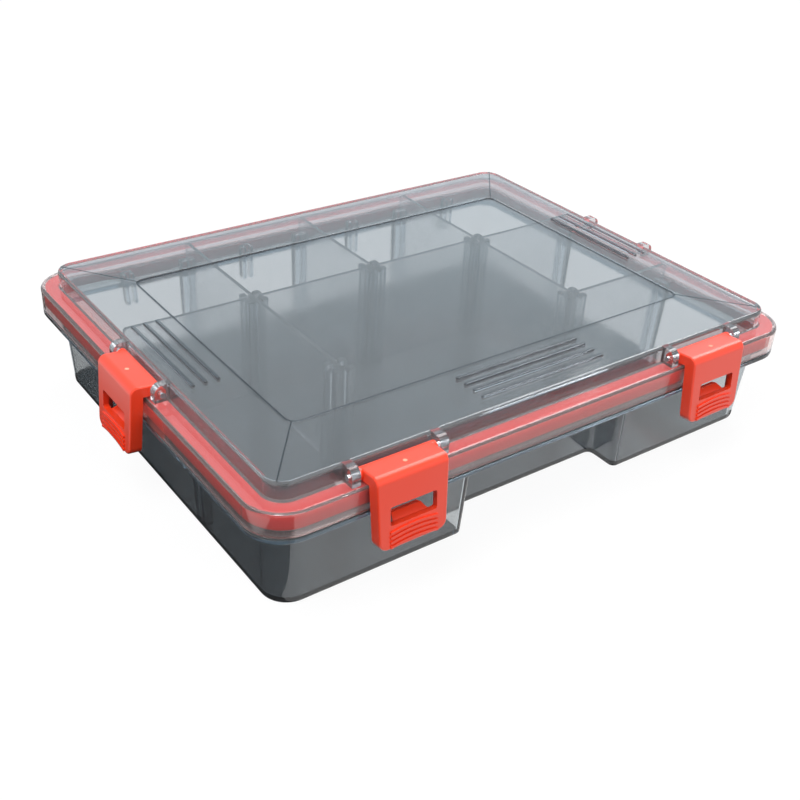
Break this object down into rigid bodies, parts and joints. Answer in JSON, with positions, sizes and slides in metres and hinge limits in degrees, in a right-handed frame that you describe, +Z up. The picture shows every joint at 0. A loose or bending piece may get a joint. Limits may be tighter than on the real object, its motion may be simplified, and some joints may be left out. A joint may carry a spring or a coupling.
{
  "type": "tackle accessory box",
  "caption": "Shallow clear plastic tackle box with a hinged sealed lid, red snap latches, slotted posts and removable dividers.",
  "frame": {"origin": "on the ground, in the middle of the tray's underside", "axes": "+X to the right along the long side, the front with its two latches towards -Y, +Z up"},
  "size_m": [0.2289, 0.186, 0.0466],
  "materials": {
    "clear_plastic": "clear, faint smoke tint, polished",
    "divider_plastic": "clear, satin",
    "seal_rubber": "soft, satin",
    "latch_plastic": "moulded, semi-gloss",
    "pin_steel": "bright drawn rod"
  },
  "bodies": {
    "base": {"base_tray": "clear_plastic", "hinge_pin_left": "pin_steel", "hinge_pin_right": "pin_steel", "divider_row_1": "divider_plastic", "divider_row_2": "divider_plastic", "divider_row_3": "divider_plastic", "divider_row_4": "divider_plastic", "divider_right": "divider_plastic", "divider_back_1": "divider_plastic", "divider_back_2": "divider_plastic", "divider_back_3": "divider_plastic", "divider_front_left": "divider_plastic", "divider_front_right": "divider_plastic"},
    "lid": {"lid": "clear_plastic", "lid_seal": "seal_rubber", "latch_pin_front_left": "pin_steel", "latch_pin_front_right": "pin_steel", "latch_pin_left": "pin_steel"},
    "latch_front_left": {"latch_front_left": "latch_plastic"},
    "latch_front_right": {"latch_front_right": "latch_plastic"},
    "latch_left": {"latch_left": "latch_plastic"}
  },
  "joints": [
    {"name": "lid_hinge", "type": "hinge", "parent": "base", "child": "lid", "pos_m": [0, 0.0892, 0.03165], "axis": [-1, 0, 0], "range_deg": [0, 180]},
    {"name": "latch_front_left_pivot", "type": "hinge", "parent": "lid", "child": "latch_front_left", "pos_m": [-0.065, -0.083, 0.0423], "axis": [-1, 0, 0], "range_deg": [-5, 85]},
    {"name": "latch_front_right_pivot", "type": "hinge", "parent": "lid", "child": "latch_front_right", "pos_m": [0.065, -0.083, 0.0423], "axis": [-1, 0, 0], "range_deg": [-5, 85]},
    {"name": "latch_left_pivot", "type": "hinge", "parent": "lid", "child": "latch_left", "pos_m": [-0.1067, 0, 0.0423], "axis": [0, 1, 0], "range_deg": [-5, 85]}
  ]
}
